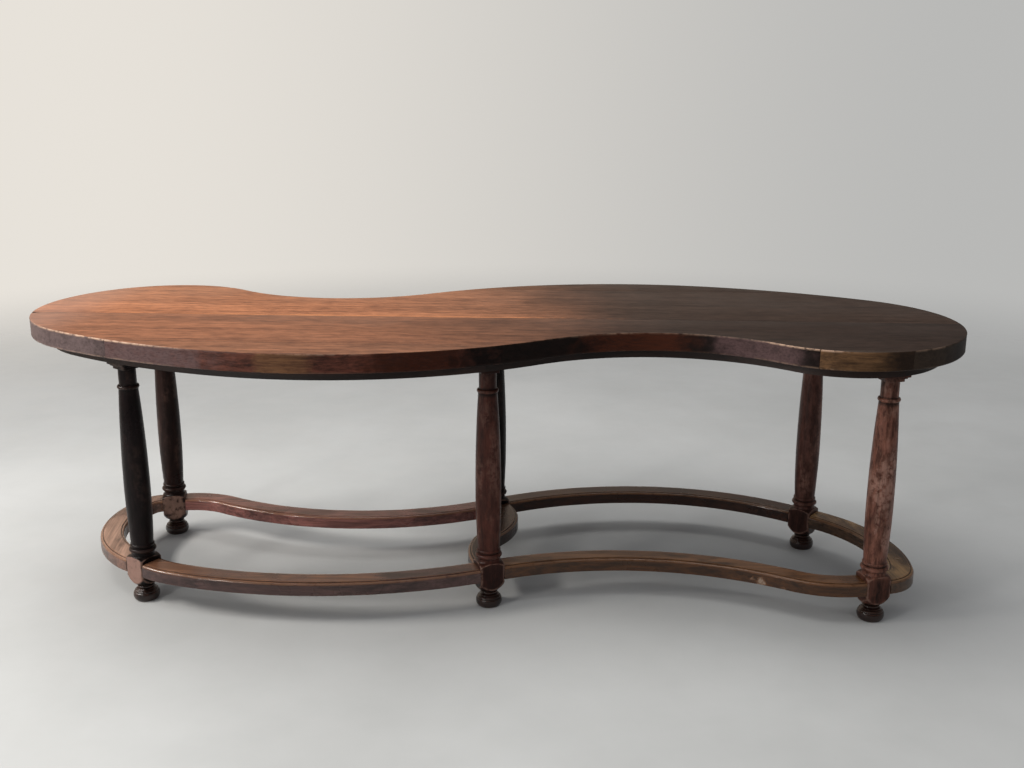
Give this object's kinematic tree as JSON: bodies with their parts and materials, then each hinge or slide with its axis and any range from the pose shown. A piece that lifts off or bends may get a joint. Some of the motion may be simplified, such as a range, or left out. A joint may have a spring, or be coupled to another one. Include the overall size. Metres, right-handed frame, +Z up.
{
  "type": "serpentine centre table",
  "caption": "Long wooden table with an S-shaped boarded top on turned baluster legs joined by a curved floor stretcher ring.",
  "frame": {"origin": "on the floor below the middle of the top", "axes": "+X along the boards to the viewer's right, +Y away from the viewer, +Z up"},
  "size_m": [2.6564, 1.029, 0.8],
  "materials": {
    "top_wood": "worn satin wax over red-brown stain",
    "frame_wood": "dark brown stain, dull",
    "leg_wood": "dark brown polish, rubbed on the rings",
    "stretcher_wood": "worn polish, rubbed bare along the top",
    "screw_steel": "dull steel"
  },
  "bodies": {
    "root": {"back_left_cap": "leg_wood", "back_left_foot": "leg_wood", "back_left_leg": "leg_wood", "back_left_stretcher": "stretcher_wood", "back_middle_cap": "leg_wood", "back_middle_foot": "leg_wood", "back_middle_leg": "leg_wood", "back_right_cap": "leg_wood", "back_right_foot": "leg_wood", "back_right_leg": "leg_wood", "back_right_stretcher": "stretcher_wood", "cross_stretcher": "stretcher_wood", "frieze_back_left": "frame_wood", "frieze_back_right": "frame_wood", "frieze_front_left": "frame_wood", "frieze_front_right": "frame_wood", "frieze_left_end": "frame_wood", "frieze_right_end": "frame_wood", "front_left_cap": "leg_wood", "front_left_foot": "leg_wood", "front_left_leg": "leg_wood", "front_left_stretcher": "stretcher_wood", "front_middle_cap": "leg_wood", "front_middle_foot": "leg_wood", "front_middle_leg": "leg_wood", "front_right_cap": "leg_wood", "front_right_foot": "leg_wood", "front_right_leg": "leg_wood", "front_right_stretcher": "stretcher_wood", "left_bearer": "frame_wood", "left_end_stretcher": "stretcher_wood", "middle_bearer": "frame_wood", "right_bearer": "frame_wood", "right_end_stretcher": "stretcher_wood", "top_board_back_left": "top_wood", "top_board_back_right": "top_wood", "top_board_front_left": "top_wood", "top_board_front_right": "top_wood", "top_board_middle_back": "top_wood", "top_board_middle_front": "top_wood", "top_screws": "screw_steel"}
  },
  "joints": []
}
